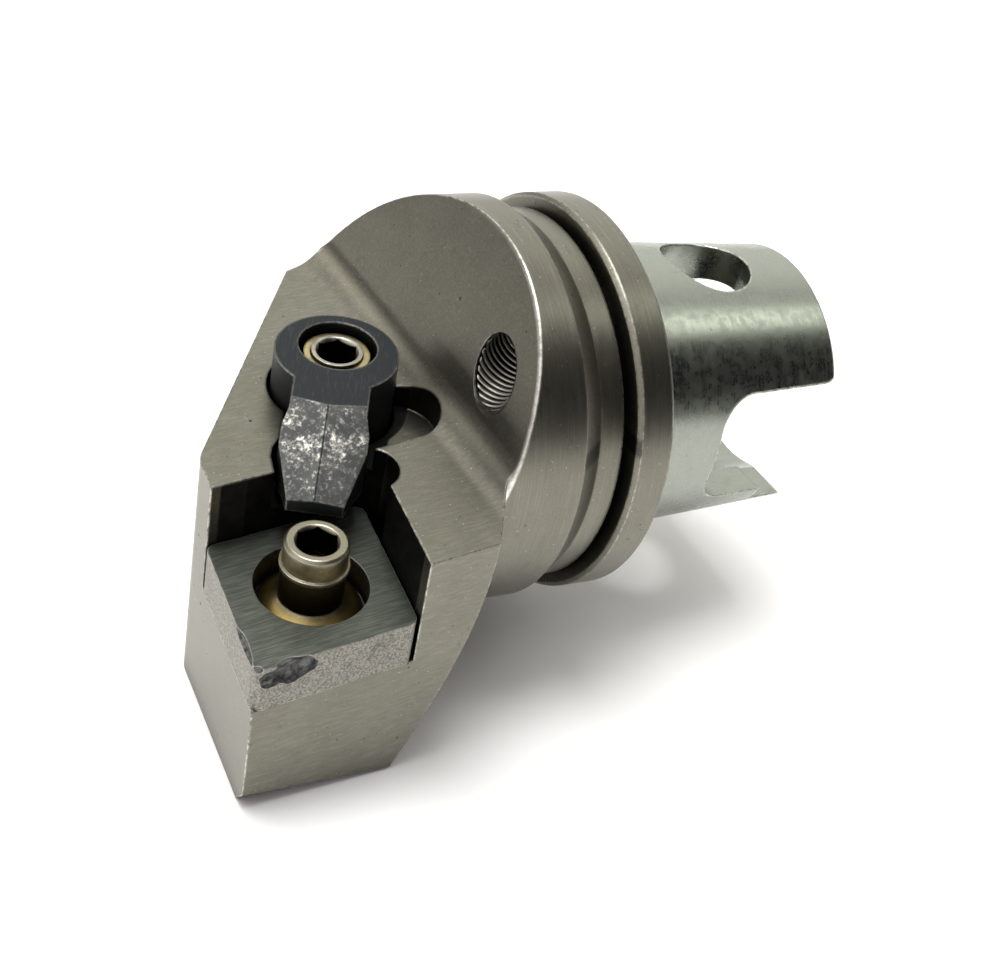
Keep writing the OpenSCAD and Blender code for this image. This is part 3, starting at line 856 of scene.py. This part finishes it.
class CUTTING_OT_lock_pin(bpy.types.Operator):
    """Give the lock pin its finish"""

    bl_idname = "cutting.lock_pin"
    bl_label = "Lock pin"

    gold = (0.26, 0.215, 0.115)
    gold_worn_and_highlit = (0.88, 0.86, 0.78)
    rough = 0.27
    # Worn head, dark neck and yellow shoulder
    zones = (
        (0.0037, 0.005, 0.0001, (0.28, 0.265, 0.2), 0.8),
        (-0.0009, 0.0019, 0.0001, (0.05, 0.04, 0.02), 0.85),
        (-0.003, -0.0012, 0.0002, (0.5, 0.36, 0.1), 0.9),
    )

    def execute(self, context):
        place = (PIN_POINT, PIN_TOP, self.zones, self.rough)
        dress("lock_pin", worn_plate("pin_plate", self.gold, self.gold_worn_and_highlit, *place))
        return {"FINISHED"}


class CUTTING_OT_stage(bpy.types.Operator):
    """Make the floor, the room's light and the camera"""

    bl_idname = "cutting.stage"
    bl_label = "Stage"

    floor_tones = ((0.93, 0.93, 0.93), (0.96, 0.955, 0.955))
    room = (0.5, 0.47, 0.465)
    # Lobes of the room: azimuth, elevation, inner and outer angle, whether it adds, and colour
    lobes = (
        (150, 82, 6, 17, True, (14.0, 14.0, 13.8)),
        (165, 50, 12, 36, True, (1.2, 1.2, 1.18)),
        (205, 40, 15, 50, True, (0.5, 0.5, 0.5)),
        (60, 36, 12, 46, True, (0.8, 0.83, 0.76)),
        (128, 28, 5, 17, True, (1.3, 1.26, 1.1)),
        (146, -4, 10, 34, False, (0.02, 0.02, 0.02)),
        (-52, 23, 16, 48, False, (0.0, 0.0, 0.0)),
        (-10, 48, 3, 10, True, (3.4, 3.6, 3.2)),
    )
    # The fitted camera: place, directions, and in pixels the picture's width, its middle,
    # the point that the lens looks at and the focal length. The sensor is in millimetres.
    camera_point = (-0.081902, -0.106703, 0.076513)
    camera_right = (0.86239529, -0.45795791, 0.21575198)
    camera_up = (0.10217501, 0.57487844, 0.81183437)
    camera_back = (-0.49581714, -0.67807768, 0.54256431)
    width = 998
    middle = (499, 487)
    aim = (498.2, 480.2)
    focal = 1880.893
    sensor = 36.0
    clip = (0.005, 20)

    def execute(self, context):
        scene = context.scene
        self.floor(scene.stage_sizes.floor_size / 2)
        self.sky(scene)
        scene.view_settings.view_transform = "Standard"
        self.camera(scene)
        return {"FINISHED"}

    def floor(self, s):
        """A square floor under the unit, whose half side is s."""
        low = CAD_BOX[0][2]
        mesh = bpy.data.meshes.new("floor")
        corners = [(-s, -s, low), (s, -s, low), (s, s, low), (-s, s, low)]
        mesh.from_pydata(corners, [], [(0, 1, 2, 3)])
        f = Finish("floor_white")
        paper = f.mix(f.noise(f.coords(), 900.0, 3.0, 0.6), *self.floor_tones)
        f.surface(base_color=paper, roughness=0.7, specular_ior_level=0.2)
        mesh.materials.append(f.material)
        piece = link("floor", mesh)

    def sky(self, scene):
        """A grey room with soft lobes: brightest overhead, light on the left and beyond the
        unit, dark low on the left and to the right, and a small bright one high on the right."""
        world = bpy.data.worlds.new("soft_room")
        scene.world = world
        world.use_nodes = True
        tree = world.node_tree
        tree.nodes.clear()
        coords = tree.nodes.new("ShaderNodeTexCoord").outputs["Generated"]
        total = None
        for azimuth, elevation, inner, outer, adds, colour in self.lobes:
            a, e = math.radians(azimuth), math.radians(elevation)
            dot = tree.nodes.new("ShaderNodeVectorMath")
            dot.operation = "DOT_PRODUCT"
            dot.inputs[1].default_value = (
                math.cos(e) * math.cos(a), math.cos(e) * math.sin(a), math.sin(e)
            )
            tree.links.new(coords, dot.inputs[0])
            spread = tree.nodes.new("ShaderNodeMapRange")
            spread.interpolation_type = "SMOOTHSTEP"
            spread.inputs["From Min"].default_value = math.cos(math.radians(outer))
            spread.inputs["From Max"].default_value = math.cos(math.radians(inner))
            tree.links.new(dot.outputs["Value"], spread.inputs["Value"])
            join = tree.nodes.new("ShaderNodeMix")
            join.data_type = "RGBA"
            join.clamp_result = False
            join.blend_type = "ADD" if adds else "MIX"
            tree.links.new(spread.outputs[0], join.inputs[0])
            join.inputs[7].default_value = (*colour, 1)
            if total is None:
                join.inputs[6].default_value = (*self.room, 1)
            else:
                tree.links.new(total, join.inputs[6])
            total = join.outputs[2]
        back = tree.nodes.new("ShaderNodeBackground")
        out = tree.nodes.new("ShaderNodeOutputWorld")
        tree.links.new(total, back.inputs[0])
        back.inputs[1].default_value = scene.stage_sizes.room_light
        tree.links.new(back.outputs[0], out.inputs[0])

    def camera(self, scene):
        data = bpy.data.cameras.new("camera")
        camera = link("camera", data)
        directions = (self.camera_right, self.camera_up, self.camera_back)
        turn = Matrix([Vector(d) for d in directions]).transposed().to_4x4()
        camera.matrix_world = Matrix.Translation(self.camera_point) @ turn
        data.sensor_fit = "HORIZONTAL"
        data.sensor_width = self.sensor
        data.lens = self.focal / self.width * self.sensor
        data.shift_x = (self.middle[0] - self.aim[0]) / self.width
        data.shift_y = (self.aim[1] - self.middle[1]) / self.width
        data.clip_start, data.clip_end = self.clip
        scene.camera = camera


class CUTTING_PT_panel(bpy.types.Panel):
    """The sidebar's list of the unit's settings and operators"""

    bl_idname = "CUTTING_PT_panel"
    bl_label = "Cutting Unit"
    bl_space_type = "VIEW_3D"
    bl_region_type = "UI"
    bl_category = "Cutting Unit"

    def draw(self, context):
        for group in SETTINGS:
            box = self.layout.box()
            box.label(text=SETTINGS[group].__doc__)
            for name in SETTINGS[group].__annotations__:
                box.prop(getattr(context.scene, group), name)
        for operator in OPERATORS:
            self.layout.operator(operator.bl_idname)


SETTINGS = {"steel_look": SteelLook, "thread_sizes": ThreadSizes, "stage_sizes": StageSizes}
OPERATORS = (
    CUTTING_OT_body,
    CUTTING_OT_port_thread,
    CUTTING_OT_shim,
    CUTTING_OT_clamp,
    CUTTING_OT_lock_pin,
    CUTTING_OT_stage,
)


def register():
    for group in SETTINGS.values():
        bpy.utils.register_class(group)
    for name, group in SETTINGS.items():
        setattr(bpy.types.Scene, name, PointerProperty(type=group))
    for operator in OPERATORS:
        bpy.utils.register_class(operator)
    bpy.utils.register_class(CUTTING_PT_panel)


def unregister():
    bpy.utils.unregister_class(CUTTING_PT_panel)
    for operator in reversed(OPERATORS):
        bpy.utils.unregister_class(operator)
    for name in SETTINGS:
        delattr(bpy.types.Scene, name)
    for group in reversed(list(SETTINGS.values())):
        bpy.utils.unregister_class(group)


def main():
    register()
    for operator in OPERATORS:
        group, name = operator.bl_idname.split(".")
        getattr(getattr(bpy.ops, group), name)()


if __name__ == "__main__":
    main()
